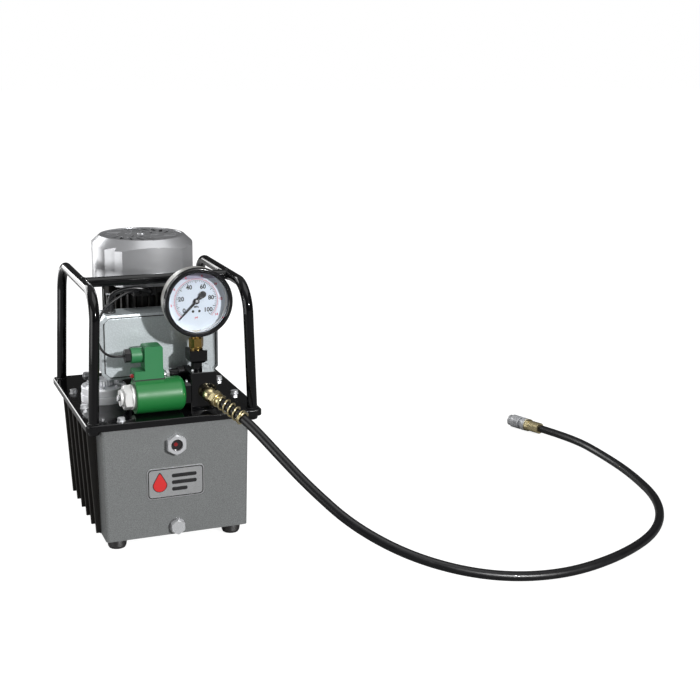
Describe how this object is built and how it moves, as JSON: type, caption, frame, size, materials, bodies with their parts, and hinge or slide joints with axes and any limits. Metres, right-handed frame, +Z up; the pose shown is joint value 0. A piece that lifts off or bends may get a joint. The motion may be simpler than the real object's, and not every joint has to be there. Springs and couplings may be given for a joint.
{
  "type": "electric hydraulic power unit",
  "caption": "Portable electric hydraulic power unit: finned oil tank, upright motor, solenoid valve, pressure gauge, carrying handles and a pressure hose with coupler.",
  "frame": {"origin": "on the floor under the middle of the unit, its hose left out", "axes": "+X to the right along the front, +Y to the back, +Z up"},
  "size_m": [1.017, 0.6973, 0.4655],
  "materials": {
    "tank_grey": "grey hammertone enamel on cast aluminium",
    "gloss_black": "gloss black enamel",
    "black_casting": "satin black paint on aluminium",
    "cowl_silver": "silver metallic paint",
    "box_grey": "pale grey hammertone enamel on cast aluminium",
    "zinc_steel": "bright zinc plate",
    "tool_steel": "ground",
    "bare_aluminium": "turned",
    "yellow_zinc": "yellow zinc plate",
    "brass": "machined",
    "copper": "varnished copper wire",
    "iron": "as cast",
    "rubber": "satin",
    "black_plastic": "fine texture",
    "green_gloss": "gloss moulded coil cover",
    "green_matte": "fine texture",
    "red_plastic": "gloss",
    "dial_white": "matt white enamel",
    "clear_glass": "polished",
    "sight_glass": "polished, oil behind it"
  },
  "bodies": {
    "power_unit": {"bolts_and_screws": "zinc_steel", "box_electrics": "black_plastic", "cable_glands": "black_plastic", "coil_cable": "rubber", "coil_indicator": "red_plastic", "coil_nut": "zinc_steel", "control_box_body": "box_grey", "control_box_cover": "box_grey", "coupler_body": "zinc_steel", "cross_bar": "gloss_black", "drain_plug": "zinc_steel", "drain_washer": "copper", "end_shields": "black_casting", "fan_cowl": "cowl_silver", "filler_flange": "bare_aluminium", "gaskets": "rubber", "gauge_adapter": "gloss_black", "gauge_bezel": "black_plastic", "gauge_case": "zinc_steel", "gauge_dial": "dial_white", "gauge_stem": "brass", "gauge_window": "clear_glass", "hose": "rubber", "hose_ferrules": "yellow_zinc", "hose_spring_guard": "yellow_zinc", "left_handle": "gloss_black", "manifold_block": "gloss_black", "motor_bearings": "tool_steel", "motor_cable": "rubber", "motor_housing": "black_casting", "name_badge": "bare_aluminium", "oil_tubes": "tool_steel", "outlet_elbow": "yellow_zinc", "pump_body": "iron", "pump_plungers": "tool_steel", "relief_valve": "gloss_black", "right_handle": "gloss_black", "rubber_feet": "rubber", "sight_glass_lens": "sight_glass", "sight_glass_nut": "zinc_steel", "solenoid_coil": "green_gloss", "solenoid_connector": "green_matte", "solenoid_tube": "tool_steel", "stator_core": "tool_steel", "stator_windings": "copper", "suction_strainer": "bare_aluminium", "tank_body": "tank_grey", "tank_fins": "black_casting", "top_plate": "gloss_black", "valve_body": "gloss_black"},
    "rotor": {"rotor_shaft": "tool_steel", "rotor_core": "tool_steel", "cooling_fan": "black_plastic", "drive_coupling": "tool_steel"},
    "gauge_pointer": {"gauge_needle": "black_plastic"},
    "valve_plunger": {"solenoid_plunger": "tool_steel"},
    "override_button": {"override_pin": "tool_steel"},
    "relief_screw": {"relief_adjuster": "zinc_steel"},
    "filler_cap": {"filler_cap": "bare_aluminium"},
    "coupler_ring": {"coupler_sleeve": "zinc_steel"}
  },
  "joints": [
    {"name": "shaft_spin", "type": "hinge", "parent": "power_unit", "child": "rotor", "pos_m": [0, 0.06, 0.3], "axis": [0, 0, 1], "continuous": true},
    {"name": "pointer_swing", "type": "hinge", "parent": "power_unit", "child": "gauge_pointer", "pos_m": [0.0445, -0.105, 0.3833], "axis": [0, 1, 0], "range_deg": [0, 270], "stiffness_Nm_per_rad": 0.002},
    {"name": "plunger_stroke", "type": "slide", "parent": "power_unit", "child": "valve_plunger", "axis": [1, 0, 0], "range_m": [0, 0.003], "stiffness_N_per_m": 1200},
    {"name": "override_press", "type": "slide", "parent": "power_unit", "child": "override_button", "axis": [1, 0, 0], "range_m": [0, 0.003], "stiffness_N_per_m": 500},
    {"name": "relief_turn", "type": "hinge", "parent": "power_unit", "child": "relief_screw", "pos_m": [0.01, -0.0775, 0.262], "axis": [1, 0, 0], "range_deg": [-180, 180]},
    {"name": "cap_turn", "type": "hinge", "parent": "power_unit", "child": "filler_cap", "pos_m": [-0.0835, -0.007, 0.24], "axis": [0, 0, 1], "range_deg": [0, 90]},
    {"name": "coupler_release", "type": "slide", "parent": "power_unit", "child": "coupler_ring", "axis": [0.3511, -0.9363, 0], "range_m": [0, 0.005], "stiffness_N_per_m": 1500}
  ],
  "couplings": [
    {"joint": "override_press", "follows": "plunger_stroke", "ratio": 1}
  ]
}
